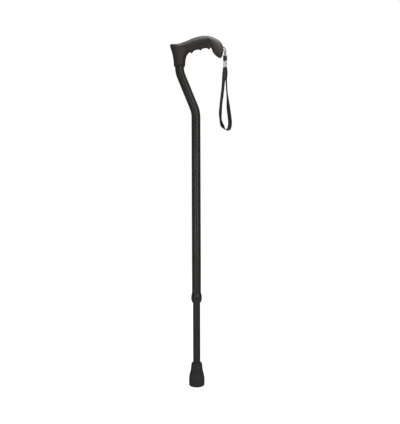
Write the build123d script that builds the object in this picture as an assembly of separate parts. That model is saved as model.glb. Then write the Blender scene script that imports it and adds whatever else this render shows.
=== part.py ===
from build123d import *
import math
import os

# An offset-handle walking cane with one rubber tip, a two-part height-adjustable shaft
# and a wrist strap. Millimetres. +Z runs up the shaft from the floor, +X towards the nose
# of the handle, and the origin is the centre of the tip's foot. The height holes face +Y.

# ---- overall ----
HEIGHT_STEP = 25.4
STEPS_EACH_WAY = 3

# ---- shaft tubes ----
UPPER_OD = 22.2
UPPER_WALL = 1.5
LOWER_OD = 18.0
LOWER_WALL = 1.2
UPPER_BOTTOM_Z = 217.0
LOWER_BOTTOM_Z = 8.0
LOWER_TOP_Z = 400.0
BEND_LOW_Z = 676.0
BEND_HIGH_Z = 775.7
HANDLE_OFFSET_X = -40.5
BEND_RADIUS = 68.0
TUBE_TOP_Z = 822.0
PLUG_LENGTH = 26.0

# ---- handle ----
STEM_BOTTOM_Z = 789.6
SOCKET_R = 12.5
SOCKET_SHOULDER_Z = 825.0
SOCKET_TOP_Z = 838.0
SOCKET_TOP_R = 8.5
CORE_DEPTH = 4.5
RIDGE_X = (-9.7, 12.2, 33.2)
RIDGE_TIP_Z = (822.6, 829.4, 832.0)
RIDGE_R = 3.0
RIDGE_WIDTH = 15.0
SCREW_Z = 804.0
SCREW_R = 1.9
SCREW_HEAD_R = 3.4
SCREW_HEAD_FACE_Y = 13.2

# ---- strap eye in the nose ----
PIN_X = 64.0
PIN_Z = 835.0
PIN_R = 1.25
PIN_LENGTH = 14.0
EYE_SLOT_WIDTH = 4.4
EYE_SLOT_R = 6.8

# ---- wrist strap ----
TETHER_D = 2.2
STRAP_X = 72.7
TAB_TOP_Z = 817.0
TAB_WIDTH = 9.8
TAB_THICK = 3.4
TETHER_END_Z = 817.3
CRIMP_TOP_Z = 801.5
CRIMP_BOTTOM_Z = 786.5
CRIMP_WIDTH = 10.2
CRIMP_DEPTH = 4.4
CRIMP_WALL = 0.5
WEBBING_WIDTH = 10.0
WEBBING_THICK = 1.2
LOOP_TURN = 38.0

# ---- locking collar ----
COLLET_TOP_Z = 227.0
COLLAR_SPLIT_Z = 216.0
LOCK_RING_BOTTOM_Z = 204.0
COLLAR_R = 13.2
NECK_R = 11.4
NECK_BOTTOM_Z = 209.0
NECK_SLITS = 4
SLIT_WIDTH = 1.6
SQUEEZE_RING_Z = 206.4
SQUEEZE_RING_THICK = 2.3

# ---- snap button, guide and tip ----
BUTTON_Z = 375.0
BUTTON_HOLE_R = 4.0
BUTTON_TRAVEL = 4.3
BUTTON_TOP_Y = 13.1
BUTTON_FLANGE_R = 5.0
SPRING_WIDTH = 7.0
SPRING_THICK = 0.6
SPRING_BEND_Z = 325.0
GUIDE_LENGTH = 14.0
TIP_FLUTES = 14
FLUTE_R = 1.9
FLUTE_AXIS_R = 17.0
TIP_HEIGHT = 55.0
FLOOR_RUBBER = 6.0
WASHER_R = 11.0

# ---- fits ----
RUNNING_FIT = 0.05
LOOSE_FIT = 0.3

upper_r = UPPER_OD / 2
upper_bore_r = upper_r - UPPER_WALL
lower_r = LOWER_OD / 2
lower_bore_r = lower_r - LOWER_WALL
button_r = BUTTON_HOLE_R - 2 * RUNNING_FIT

parts = {}


def turned(profile):
    """A solid of revolution about Z from (radius, height) corners."""
    outline = Polyline(*[(r, 0, z) for r, z in profile], close=True)
    return revolve(make_face(outline), Axis.Z)


def upright(radius, bottom, top, x=0.0):
    """A round bar along Z."""
    bar = Cylinder(radius, top - bottom, align=(Align.CENTER, Align.CENTER, Align.MIN))
    return Pos(x, 0, bottom) * bar


def tube(outer_r, inner_r, bottom, top):
    """A straight round tube along Z."""
    return upright(outer_r, bottom, top) - upright(inner_r, bottom, top)


def along_y(radius, start, end, x, z):
    """A round bar along Y from start to end."""
    bar = Cylinder(radius, end - start, align=(Align.CENTER, Align.CENTER, Align.MIN))
    return Pos(x, start, z) * Rot(-90, 0, 0) * bar


# ---------------------------------------------------------------- handle
# Each station is a slice across the handle: its outer point and its inner point in the
# XZ plane, then its half depth along Y. They run up the stem, fan round the rear flare
# and follow the grip to the end of the nose. The first lies below the stem's mouth, so
# that the body is already straight where it is cut off there.
STATIONS = [
    ((-53.6, 775.0), (-27.0, 775.0), 13.9),
    ((-54.2, 789.6), (-26.4, 789.6), 13.9),
    ((-55.1, 804.0), (-25.6, 803.0), 13.9),
    ((-57.5, 819.0), (-23.6, 813.5), 13.9),
    ((-61.3, 830.5), (-20.0, 818.8), 13.8),
    ((-63.6, 841.8), (-14.0, 824.0), 13.6),
    ((-47.0, 843.6), (-8.0, 827.0), 13.4),
    ((-30.0, 848.2), (-1.0, 829.2), 13.4),
    ((-12.0, 855.8), (7.5, 831.6), 13.4),
    ((8.0, 862.0), (17.0, 833.4), 13.4),
    ((27.0, 864.0), (27.0, 834.6), 13.5),
    ((43.0, 861.0), (35.5, 834.8), 13.9),
    ((55.5, 854.6), (40.5, 831.5), 14.6),
    ((63.8, 846.5), (42.6, 824.8), 15.0),
    ((68.1, 836.0), (48.0, 817.5), 14.0),
    ((66.6, 824.5), (54.5, 812.8), 11.5),
    ((64.0, 815.0), (59.6, 810.6), 5.0),
]


def handle_slice(outer, inner, half_depth, depth):
    """One oval slice of the handle, drawn in by a depth below its surface."""
    a = Vector(outer[0], 0, outer[1])
    b = Vector(inner[0], 0, inner[1])
    across = (a - b).normalized()
    plane = Plane(origin=(a + b) * 0.5, x_dir=across, z_dir=across.cross(Vector(0, 1, 0)))
    half = (a - b).length / 2
    return plane * scale(Circle(1), by=(half - depth, half_depth - depth, 1))


def handle_body(stations, depth=0.0):
    """The handle's smooth body through the given slices."""
    return loft([handle_slice(*station, depth) for station in stations])


grip_body = split(handle_body(STATIONS), Plane(origin=(0, 0, STEM_BOTTOM_Z)), keep=Keep.TOP)
for ridge_x, tip_z in zip(RIDGE_X, RIDGE_TIP_Z):
    half_width = RIDGE_WIDTH / 2
    grip_body += along_y(RIDGE_R, -half_width, half_width, ridge_x, tip_z + RIDGE_R)

beam = handle_body(STATIONS[5:13], CORE_DEPTH)
socket = upright(SOCKET_R, STEM_BOTTOM_Z, SOCKET_SHOULDER_Z, HANDLE_OFFSET_X)
shoulder = Cone(SOCKET_R, SOCKET_TOP_R, SOCKET_TOP_Z - SOCKET_SHOULDER_Z)
socket += Pos(HANDLE_OFFSET_X, 0, (SOCKET_SHOULDER_Z + SOCKET_TOP_Z) / 2) * shoulder
tube_space = upright(upper_r, STEM_BOTTOM_Z - 10, TUBE_TOP_Z, HANDLE_OFFSET_X)
eye_slot = along_y(EYE_SLOT_R, -EYE_SLOT_WIDTH / 2, EYE_SLOT_WIDTH / 2, PIN_X, PIN_Z)
pin = along_y(PIN_R, -PIN_LENGTH / 2, PIN_LENGTH / 2, PIN_X, PIN_Z)
screw_head_y = SCREW_HEAD_FACE_Y - 2.0
screw_head = along_y(SCREW_HEAD_R, screw_head_y, SCREW_HEAD_FACE_Y, HANDLE_OFFSET_X, SCREW_Z)
screw_head_well = along_y(SCREW_HEAD_R, screw_head_y, 20, HANDLE_OFFSET_X, SCREW_Z)
screw_shank = along_y(SCREW_R, 1.0, screw_head_y, HANDLE_OFFSET_X, SCREW_Z)
screw_socket = Pos(HANDLE_OFFSET_X, SCREW_HEAD_FACE_Y - 1.2, SCREW_Z) * Box(
    1.0, 2.4, 4.6
) + Pos(HANDLE_OFFSET_X, SCREW_HEAD_FACE_Y - 1.2, SCREW_Z) * Box(4.6, 2.4, 1.0)

core_shape = beam + socket
parts["handle_core"] = core_shape - tube_space - screw_head_well - screw_shank
parts["handle_cover"] = grip_body - core_shape - tube_space - eye_slot - pin - screw_head_well
parts["handle_screw"] = screw_head + screw_shank - screw_socket
parts["strap_pin"] = pin

# ---------------------------------------------------------------- upper tube
bend_path = FilletPolyline(
    (0, 0, UPPER_BOTTOM_Z),
    (0, 0, BEND_LOW_Z),
    (HANDLE_OFFSET_X, 0, BEND_HIGH_Z),
    (HANDLE_OFFSET_X, 0, TUBE_TOP_Z),
    radius=BEND_RADIUS,
)
tube_section = Plane(origin=(0, 0, UPPER_BOTTOM_Z)) * (Circle(upper_r) - Circle(upper_bore_r))
upper_tube = sweep(tube_section, path=bend_path)
for step in range(-STEPS_EACH_WAY, STEPS_EACH_WAY + 1):
    hole_z = BUTTON_Z + step * HEIGHT_STEP
    upper_tube -= along_y(BUTTON_HOLE_R, 0, upper_r + 1, 0, hole_z)
parts["upper_tube"] = upper_tube - screw_shank

# A nylon plug closes the tube's top end and gives the handle screw something to bite.
plug_bottom = TUBE_TOP_Z - PLUG_LENGTH
tube_plug = upright(upper_bore_r, plug_bottom, TUBE_TOP_Z, HANDLE_OFFSET_X)
tube_plug -= upright(upper_bore_r - 3.2, plug_bottom, TUBE_TOP_Z - 4, HANDLE_OFFSET_X)
parts["tube_plug"] = tube_plug - screw_shank

# ---------------------------------------------------------------- locking collar
collet = turned([
    (upper_r, COLLET_TOP_Z),
    (upper_r + 0.4, COLLET_TOP_Z),
    (12.1, 223.8),
    (12.8, 221.0),
    (COLLAR_R, 218.6),
    (COLLAR_R, COLLAR_SPLIT_Z),
    (NECK_R, COLLAR_SPLIT_Z),
    (NECK_R, 211.0),
    (NECK_R - 0.8, NECK_BOTTOM_Z),
    (lower_r + LOOSE_FIT, NECK_BOTTOM_Z),
    (lower_r + LOOSE_FIT, UPPER_BOTTOM_Z),
    (upper_r, UPPER_BOTTOM_Z),
])
for slit in range(NECK_SLITS):
    notch = Box(4 * SLIT_WIDTH, SLIT_WIDTH, 5.0, align=(Align.CENTER, Align.CENTER, Align.MIN))
    collet -= Rot(0, 0, 45 + slit * 360 / NECK_SLITS) * Pos(NECK_R - 1, 0, NECK_BOTTOM_Z) * notch
parts["collet"] = collet

ring_bore_r = NECK_R + LOOSE_FIT
seat_bottom_z = SQUEEZE_RING_Z
parts["lock_ring"] = turned([
    (ring_bore_r, COLLAR_SPLIT_Z - LOOSE_FIT),
    (COLLAR_R, COLLAR_SPLIT_Z - LOOSE_FIT),
    (COLLAR_R, 212.4),
    (12.9, 210.4),
    (12.3, 208.0),
    (11.4, 205.4),
    (10.6, LOCK_RING_BOTTOM_Z),
    (lower_r + LOOSE_FIT, LOCK_RING_BOTTOM_Z),
    (lower_r + LOOSE_FIT, seat_bottom_z),
    (10.7, seat_bottom_z),
    (ring_bore_r, 209.0),
])
parts["squeeze_ring"] = turned([
    (lower_r + LOOSE_FIT, seat_bottom_z),
    (10.7, seat_bottom_z),
    (11.0, seat_bottom_z + 0.8),
    (11.0, NECK_BOTTOM_Z - LOOSE_FIT),
    (lower_r + LOOSE_FIT, NECK_BOTTOM_Z - LOOSE_FIT),
])

# ---------------------------------------------------------------- lower leg
button_hole = along_y(BUTTON_HOLE_R, 0, lower_r + 2, 0, BUTTON_Z)
parts["lower_tube"] = tube(lower_r, lower_bore_r, LOWER_BOTTOM_Z, LOWER_TOP_Z) - button_hole

guide_r = upper_bore_r - RUNNING_FIT
guide_bottom = LOWER_TOP_Z - GUIDE_LENGTH
guide = tube(guide_r, lower_r, guide_bottom, LOWER_TOP_Z)
guide += tube(guide_r, lower_bore_r - 1.2, LOWER_TOP_Z, LOWER_TOP_Z + 2)
guide += tube(lower_bore_r, lower_bore_r - 1.2, LOWER_TOP_Z - 8, LOWER_TOP_Z)
parts["guide_bushing"] = guide

flange_y = 4.4
button = along_y(button_r, flange_y, BUTTON_TOP_Y, 0, BUTTON_Z)
button = fillet(button.edges().group_by(Axis.Y)[-1], 1.6)
parts["snap_button"] = button + along_y(BUTTON_FLANGE_R, flange_y, flange_y + 1.2, 0, BUTTON_Z)

# The spring is one strip of steel folded into a V: one leg lies along the bore opposite
# the button, the other carries the button.
wall_y = -lower_bore_r + 1.3
spring_top_z = BUTTON_Z + BUTTON_FLANGE_R
fold_r = 2.0
spring_line = FilletPolyline(
    (0, wall_y, spring_top_z),
    (0, wall_y, SPRING_BEND_Z),
    (0, wall_y + 4.6, SPRING_BEND_Z),
    (0, flange_y - 0.3, BUTTON_Z - 8),
    (0, flange_y - 0.3, spring_top_z),
    radius=[fold_r, fold_r, 20.0],
)
strip = Plane(origin=(0, wall_y, spring_top_z)) * Rectangle(SPRING_WIDTH, SPRING_THICK)
parts["button_spring"] = sweep(strip, path=spring_line)

# ---------------------------------------------------------------- rubber tip
tip_profile = Polyline(
    (0, 0, 0), (18.0, 0, 0), (18.6, 0, 0.8), (19.2, 0, 10), (18.9, 0, 20), (18.0, 0, 25),
    (17.0, 0, 29.5), (15.9, 0, 32.5), (15.1, 0, 35), (14.7, 0, 38), (14.1, 0, 42.5),
    (13.8, 0, 47), (13.5, 0, 51.5), (12.6, 0, 54.2), (11.2, 0, TIP_HEIGHT), (0, 0, TIP_HEIGHT),
    close=True,
)
rubber_tip = revolve(make_face(tip_profile), Axis.Z)
rubber_tip -= upright(lower_r, LOWER_BOTTOM_Z, TIP_HEIGHT)
rubber_tip -= upright(WASHER_R, FLOOR_RUBBER, LOWER_BOTTOM_Z)
flute = Pos(FLUTE_AXIS_R, 0, 31) * Rot(0, -12.5, 0) * Cylinder(FLUTE_R, 20)
for turn in range(TIP_FLUTES):
    rubber_tip -= Rot(0, 0, (turn + 0.5) * 360 / TIP_FLUTES) * flute
for groove_r in (8.0, 12.5):
    rubber_tip -= tube(groove_r + 1.6, groove_r, 0, 1.6)
parts["rubber_tip"] = rubber_tip
parts["tip_washer"] = upright(WASHER_R, FLOOR_RUBBER, LOWER_BOTTOM_Z) - upright(
    3.0, FLOOR_RUBBER, LOWER_BOTTOM_Z
)

# ---------------------------------------------------------------- wrist strap
# The tether's route lies in the XZ plane: up from the tab, through the eye, round the
# pin and back down to the tab.
TETHER_ROUTE = [
    (73.9, TETHER_END_Z), (74.8, 824.2), (74.0, 831.4), (69.8, 837.0), (61.2, 838.0),
    (61.2, 831.9), (69.3, 831.4), (71.1, 825.2), (71.5, TETHER_END_Z),
]
# The loop's route lies in an upright plane through the crimp that is turned away from
# the XZ plane: the first number is the distance out from the crimp's middle.
LOOP_ROUTE = [
    (-0.7, CRIMP_BOTTOM_Z), (-1.0, 774.0), (-3.9, 758.0), (-6.2, 739.0), (-9.3, 717.0),
    (-13.0, 697.0), (-15.6, 676.0), (-16.0, 656.0), (-11.0, 641.0), (-2.4, 631.6),
    (8.0, 630.0), (14.6, 638.4), (16.2, 653.0), (13.4, 670.0), (10.0, 689.0),
    (8.2, 709.0), (5.4, 729.0), (4.2, 748.0), (2.4, 764.0), (0.8, 775.6),
    (0.7, CRIMP_BOTTOM_Z),
]


def corner_radii(route):
    """The radius at each corner: as large as its two runs allow."""
    radii = []
    for before, here, after in zip(route, route[1:], route[2:]):
        into = Vector(*here) - Vector(*before)
        out = Vector(*after) - Vector(*here)
        half_turn = math.radians(into.get_angle(out)) / 2
        radii.append(0.45 * min(into.length, out.length) / math.tan(half_turn))
    return radii


def swept_cord(route, section):
    """A cord's solid along straight runs and tangent arcs."""
    radii = corner_radii(route)
    path = FilletPolyline(*route, radius=radii)
    start = Plane(origin=path @ 0, x_dir=(path % 0).cross(Vector(0, 1, 0)), z_dir=path % 0)
    solid = sweep(start * section, path=path)
    share = solid.volume / (section.area * path.length)
    print(f"route {path.length:.1f} mm, volume share {share:.3f}, radii", [round(r, 1) for r in radii])
    return solid


tether_route = [(x, 0, z) for x, z in TETHER_ROUTE]
parts["tether_cord"] = swept_cord(tether_route, Circle(TETHER_D / 2))
loop_route = [(out, 0, z) for out, z in LOOP_ROUTE]
flat_loop = swept_cord(loop_route, Rectangle(WEBBING_THICK, WEBBING_WIDTH))
parts["strap_loop"] = Pos(STRAP_X, 0, 0) * Rot(0, 0, LOOP_TURN) * flat_loop

# The tab's top is half round about the line that the strap tips sideways on.
tab_pivot_z = TAB_TOP_Z - TAB_THICK / 2
tab_height = tab_pivot_z - CRIMP_TOP_Z
tab = Pos(STRAP_X, 0, CRIMP_TOP_Z + tab_height / 2) * Box(TAB_WIDTH, TAB_THICK, tab_height)
tab += Pos(STRAP_X, 0, tab_pivot_z) * Rot(0, 90, 0) * Cylinder(TAB_THICK / 2, TAB_WIDTH)
tab_inside = Pos(STRAP_X, 0, (CRIMP_TOP_Z + CRIMP_BOTTOM_Z) / 2) * Box(
    CRIMP_WIDTH - 2 * CRIMP_WALL, CRIMP_DEPTH - 2 * CRIMP_WALL, CRIMP_TOP_Z - CRIMP_BOTTOM_Z
)
crimp = Pos(STRAP_X, 0, (CRIMP_TOP_Z + CRIMP_BOTTOM_Z) / 2) * Box(
    CRIMP_WIDTH, CRIMP_DEPTH, CRIMP_TOP_Z - CRIMP_BOTTOM_Z
)
crimp = fillet(crimp.edges().filter_by(Axis.Z), 1.0)
parts["strap_crimp"] = crimp - tab_inside
parts["strap_tab"] = tab + tab_inside

# ---------------------------------------------------------------- write
os.makedirs("parts", exist_ok=True)
for name, solid in parts.items():
    solid.label = name
    export_step(solid, f"parts/{name}.step")
    print(f"{name}: {solid.volume:.0f} mm3, valid {solid.is_valid}")
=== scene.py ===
# %% [markdown]
# A walking cane with an offset handle. The measured model is loaded first and never
# moved: it says where every part is. This lesson then gives each visible part the shape
# and the finish of the real one, piece by piece, from the strap to the rubber tip.

# %% Load the frame
import math

import bmesh
import bpy
from mathutils import Matrix, Vector


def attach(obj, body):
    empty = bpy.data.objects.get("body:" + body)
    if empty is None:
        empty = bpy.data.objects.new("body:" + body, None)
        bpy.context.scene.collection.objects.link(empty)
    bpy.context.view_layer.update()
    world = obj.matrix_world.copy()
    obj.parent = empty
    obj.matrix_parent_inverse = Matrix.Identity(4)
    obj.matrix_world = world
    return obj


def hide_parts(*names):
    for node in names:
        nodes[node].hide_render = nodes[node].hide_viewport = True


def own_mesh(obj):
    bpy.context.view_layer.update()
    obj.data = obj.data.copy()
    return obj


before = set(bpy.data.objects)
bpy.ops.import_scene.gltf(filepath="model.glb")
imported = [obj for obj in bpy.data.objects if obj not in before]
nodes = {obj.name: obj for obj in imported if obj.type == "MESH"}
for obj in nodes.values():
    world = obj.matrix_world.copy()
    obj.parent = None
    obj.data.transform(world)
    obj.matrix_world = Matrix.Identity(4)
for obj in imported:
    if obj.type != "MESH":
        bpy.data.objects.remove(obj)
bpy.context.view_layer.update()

MM = 0.001
print("parts:", len(nodes))

# %% [markdown]
# The cane stands upright on a pale floor and is seen level from one side, from a little
# over a metre away, so the foot is seen from above and the grip from below. The lens and
# the distance go together: the distance sets how much of the sole's curve shows, and the
# lens then makes the whole cane fill about four fifths of the picture's height.

# %% Camera
LENS = 38.0
CAMERA_DISTANCE = 1.11
CAMERA_SIDE = 0.0093
CAMERA_HEIGHT = 0.428
CAMERA_ROLL = math.radians(0.19)

camera_data = bpy.data.cameras.new("camera")
camera_data.lens = LENS
camera_data.clip_end = 60        # metres, past the far edge of the floor
camera = bpy.data.objects.new("camera", camera_data)
camera.location = (CAMERA_SIDE, -CAMERA_DISTANCE, CAMERA_HEIGHT)
camera.rotation_euler = (math.radians(90), CAMERA_ROLL, 0)
bpy.context.scene.collection.objects.link(camera)
bpy.context.scene.camera = camera
print("camera at", tuple(round(v, 3) for v in camera.location))

# %% [markdown]
# Colours are written as the screen's hex values, but Blender works in linear light: one
# function turns the one into the other. A second small function adds a node with its
# settings and links, which keeps each finish short.

# %% Colour and node helpers
def hex_colour(text):
    """An sRGB hex colour as the linear red, green, blue and alpha that Blender works in."""
    channels = [int(text[i:i + 2], 16) / 255 for i in (1, 3, 5)]
    linear = [c / 12.92 if c <= 0.04045 else ((c + 0.055) / 1.055) ** 2.4 for c in channels]
    return (*linear, 1.0)


def add_node(tree, kind, links=(), **settings):
    """A new node, or the one given, with its settings, which name a property or a socket."""
    node = tree.nodes.new(kind) if isinstance(kind, str) else kind
    for key, value in settings.items():
        if hasattr(node, key):
            setattr(node, key, value)
        else:
            node.inputs[key.replace("_", " ")].default_value = value
    for socket, source in links:
        tree.links.new(source, node.inputs[socket])
    return node

# %% [markdown]
# A white studio. Black parts show the light sources more than their own colour, so the
# light decides how they look. Two tall soft boxes in front, left and right of the camera,
# draw the two thin upright glints on each tube, one above gives the sheen on the grip,
# and one behind lights the far side. Lamps that shine from a point would leave hard dots.

# %% Soft boxes
def soft_box(name, place, aim, width, height, power):
    """A rectangular light that faces the point it is aimed at."""
    data = bpy.data.lights.new(name, "AREA")
    data.shape = "RECTANGLE"
    data.size = width
    data.size_y = height
    data.energy = power
    light = bpy.data.objects.new(name, data)
    light.location = place
    light.rotation_euler = (Vector(aim) - Vector(place)).to_track_quat("-Z", "Y").to_euler()
    bpy.context.scene.collection.objects.link(light)
    return light


# Place and aim in metres, width and height in metres, power in watts.
soft_box("left_box", (-0.92, -1.89, 0.35), (0, 0, 0.35), 0.2, 1.0, 5.0)
soft_box("right_box", (1.05, -1.8, 1.05), (0, 0, 0.75), 0.2, 2.1, 11)
soft_box("top_box", (0.15, -0.1, 1.75), (0, 0, 0.85), 1.0, 0.5, 16)
back_box = soft_box("back_box", (0.2, 1.9, 1.2), (0, 0, 0.45), 1.6, 1.2, 8)
back_box.visible_glossy = False  # or its mirror image would eat into the grip's outline

# %% [markdown]
# The sky is white where it is seen and where it lights the cane, but grey in reflections,
# as if dark cards stood beside it, because a white room would turn the edges of a black
# tube pale. A light path node tells the two kinds of ray apart.

# %% White sky
world = bpy.data.worlds.new("white_studio")
bpy.context.scene.world = world
world.use_nodes = True
sky = world.node_tree
sky.nodes.clear()
path = add_node(sky, "ShaderNodeLightPath")
direction = add_node(sky, "ShaderNodeTexCoord")
height = add_node(sky, "ShaderNodeSeparateXYZ",
                  links=[("Vector", direction.outputs["Generated"])])
from_below = add_node(sky, "ShaderNodeMapRange",
                      From_Min=-0.2, From_Max=-0.34, To_Min=0.08, To_Max=0.3,
                      links=[("Value", height.outputs["Z"])])
seen = add_node(sky, "ShaderNodeBackground", Color=(1, 1, 1, 1), Strength=1.0)
mirrored = add_node(sky, "ShaderNodeBackground", Color=(1, 1, 1, 1),
                    links=[("Strength", from_below.outputs["Result"])])
mixed = add_node(sky, "ShaderNodeMixShader",
                 links=[(0, path.outputs["Is Glossy Ray"]),
                        (1, seen.outputs[0]), (2, mirrored.outputs[0])])
add_node(sky, "ShaderNodeOutputWorld", links=[("Surface", mixed.outputs[0])])
print("sky nodes:", len(sky.nodes))

# %% [markdown]
# The floor is matt paper, lit from behind so that it is as white as the sky and shows no
# horizon. It could be a curved backdrop, but on a flat floor the cane stands where it does.

# %% Floor
FLOOR_SIZE = 40
bpy.ops.object.select_all(action="DESELECT")
bpy.ops.mesh.primitive_plane_add(size=FLOOR_SIZE)
floor = bpy.context.object
floor.name = "studio_floor"
floor.visible_glossy = False     # or the tubes would mirror its white
floor_white = bpy.data.materials.new("white_floor_paper")
floor_white.use_nodes = True
add_node(floor_white.node_tree, floor_white.node_tree.nodes["Principled BSDF"], Roughness=0.9,
         Base_Color=hex_colour("#8a8a8a"), Emission_Color=(1, 1, 1, 1), Emission_Strength=0.76)
floor.data.materials.append(floor_white)
bpy.context.scene.view_settings.view_transform = "Standard"
print("floor:", floor.name)

# %% [markdown]
# A cord or a strap starts as a line: a few points, in metres, that one smooth spline
# follows. Short straight runs would look like bent wire. These helpers make the line, and
# read points along it where a mesh has to follow it.

# %% Line helpers
def smooth_line(name, points):
    """A NURBS curve that follows the points, in metres, and starts and ends on the end ones."""
    data = bpy.data.curves.new(name, "CURVE")
    data.dimensions = "3D"
    data.resolution_u = 12
    spline = data.splines.new("NURBS")
    spline.points.add(len(points) - 1)
    for point, place in zip(spline.points, points):
        point.co = (*place, 1)
    spline.order_u = 3
    spline.use_endpoint_u = True
    curve = bpy.data.objects.new(name, data)
    bpy.context.scene.collection.objects.link(curve)
    return curve


def line_points(curve):
    """The points along a curve that has no bevel yet."""
    mesh = bpy.data.meshes.new_from_object(curve)
    points = [v.co.copy() for v in mesh.vertices]
    bpy.data.meshes.remove(mesh)
    return points


def line_length(points):
    """The length of a line of points."""
    return sum((b - a).length for a, b in zip(points, points[1:]))


print("line helpers: smooth_line, line_points, line_length")

# %% [markdown]
# The tether is a thin braided cord. It is sewn into the tab, goes up through the eye in
# the handle's nose, round a pin, and comes back down. It could be a mesh tube, but a
# curve with a round bevel stays smooth and takes its line from a few points.

# %% Tether cord
TETHER_D = 2.2
tether_route = [                  # x, z in millimetres
    (73.9, 817.3), (74.8, 824.2), (74.0, 831.4), (69.8, 837.0), (61.2, 838.0),
    (61.2, 831.9), (69.3, 831.4), (71.1, 825.2), (71.5, 817.3),
]
tether = smooth_line("tether", [(x * MM, 0, z * MM) for x, z in tether_route])
tether_length = line_length(line_points(tether))
tether.data.bevel_depth = TETHER_D / 2 * MM
tether.data.bevel_resolution = 4
tether.data.use_fill_caps = True
print(f"tether: {tether_length * 1000:.0f} mm")

# %% [markdown]
# The wrist loop is a flat woven tape, ten millimetres wide. Both ends are pinched in the
# crimp with their faces to the side, and the tape twists on its way round, so it shows
# its face at some places and its edge at others. Its line is a smooth curve through the
# plane of the loop, which is turned a little away from the side view.

# %% Wrist loop route
STRAP_X = 72.7
LOOP_TURN = math.radians(38)
WEBBING_WIDTH = 10.0
WEBBING_THICK = 1.2
loop_route = [                    # outwards in the loop's plane, z
    (-0.7, 786.5), (-2.2, 774.0), (-4.5, 758.0), (-6.7, 739.0), (-9.8, 717.0),
    (-13.4, 697.0), (-15.9, 676.0), (-16.0, 656.0), (-11.0, 642.0), (-2.4, 632.6),
    (8.0, 631.2), (14.6, 638.4), (16.2, 653.0), (13.4, 670.0), (10.0, 689.0),
    (8.2, 709.0), (5.4, 729.0), (4.2, 748.0), (3.2, 764.0), (1.8, 775.6),
    (0.7, 786.5),
]
loop_twist = [                    # degrees, one for each point of the route
    -52, -36, -8, -5, -8, 0, -9, 14, -22, 26, 26, 40, 36, 32, 26, -8, -26, -25, -22, 18, 52,
]
out_dir = Vector((math.cos(LOOP_TURN), math.sin(LOOP_TURN), 0))
side_dir = Vector((-math.sin(LOOP_TURN), math.cos(LOOP_TURN), 0))
loop_points = [Vector((STRAP_X * MM, 0, z * MM)) + out_dir * u * MM for u, z in loop_route]
# In the crimp the two ends lie one behind the other, so there they move apart along Y.
END_ASIDE = 0.65
for point, aside in ((0, -END_ASIDE), (1, -END_ASIDE), (-2, END_ASIDE), (-1, END_ASIDE)):
    loop_points[point] = Vector((loop_points[point].x, aside * MM, loop_points[point].z))
loop_points[0].x = loop_points[-1].x = STRAP_X * MM
loop_curve = smooth_line("loop_line", loop_points)
loop_line = line_points(loop_curve)
bpy.data.objects.remove(loop_curve)

# %% [markdown]
# A curve with a flat bevel would give the tape no threads that follow its twist, so its
# cross-section is laid down along the line's own points, turned by an angle at each. Its
# UV map is in millimetres, across the tape and along it, and carries the weave.

# %% Tape mesh
def tape_mesh(name, line, twists, width, thick):
    """A flat tape with rounded edges along a line, turned by an angle at each point."""
    corner = thick / 2
    half = width / 2 - corner
    outline = [(half, corner), (half + corner * 0.8, corner * 0.6), (half + corner, 0),
               (half + corner * 0.8, -corner * 0.6), (half, -corner)]
    outline += [(half * part, -corner) for part in (0.5, 0, -0.5)]
    outline += [(-x, -y) for x, y in outline[:]]
    rings = len(line)
    verts, faces, along = [], [], [0.0]
    for i, place in enumerate(line):
        ahead = (line[min(i + 1, rings - 1)] - line[max(i - 1, 0)]).normalized()
        inward = ahead.cross(side_dir).normalized()
        angle = twists[i]
        wide = side_dir * math.cos(angle) + inward * math.sin(angle)
        flat = wide.cross(ahead)
        verts += [place + wide * x + flat * y for x, y in outline]
        if i:
            along.append(along[-1] + (place - line[i - 1]).length)
    count = len(outline)
    for i in range(rings - 1):
        for j in range(count):
            k = (j + 1) % count
            below, above = i * count, (i + 1) * count
            faces.append((below + j, below + k, above + k, above + j))
    faces.append(tuple(reversed(range(count))))
    faces.append(tuple((rings - 1) * count + j for j in range(count)))
    mesh = bpy.data.meshes.new(name)
    mesh.from_pydata(verts, [], faces)
    tape_uv = mesh.uv_layers.new(name="tape")
    for polygon in mesh.polygons:
        for loop in polygon.loop_indices:
            ring, corner = divmod(mesh.loops[loop].vertex_index, count)
            tape_uv.data[loop].uv = (outline[corner][0] / MM, along[ring] / MM)
    tape = bpy.data.objects.new(name, mesh)
    bpy.context.scene.collection.objects.link(tape)
    return tape


print("tape:", WEBBING_WIDTH, "x", WEBBING_THICK, "mm")

# %% [markdown]
# The twist is given at each point of the route, mixed between them along the line,
# and smoothed, so the tape turns slowly, as a stiff webbing does.

# %% Wrist loop
TWIST_SMOOTHING = 6
route_steps = len(loop_twist) - 1
loop_angles = []
for i in range(len(loop_line)):
    share = i / (len(loop_line) - 1) * route_steps
    low = min(int(share), route_steps - 1)
    twist = loop_twist[low] + (loop_twist[low + 1] - loop_twist[low]) * (share - low)
    loop_angles.append(math.radians(twist))
for _ in range(TWIST_SMOOTHING):
    neighbours = zip(loop_angles, loop_angles[1:], loop_angles[2:])
    smoothed = [(a + 2 * b + c) / 4 for a, b, c in neighbours]
    loop_angles = [loop_angles[0], *smoothed, loop_angles[-1]]
wrist_loop = tape_mesh("wrist_loop", loop_line, loop_angles,
                       WEBBING_WIDTH * MM, WEBBING_THICK * MM)
print(f"loop tape: {len(wrist_loop.data.polygons)} faces")

# %% [markdown]
# The other pieces are modelled as by hand: a primitive is added, and edit mode gives it its
# shape. These helpers only save typing. A piece is entered in edit mode, points are picked
# by their place, and a ring is extruded on and on, each time to a new centre and size.

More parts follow.
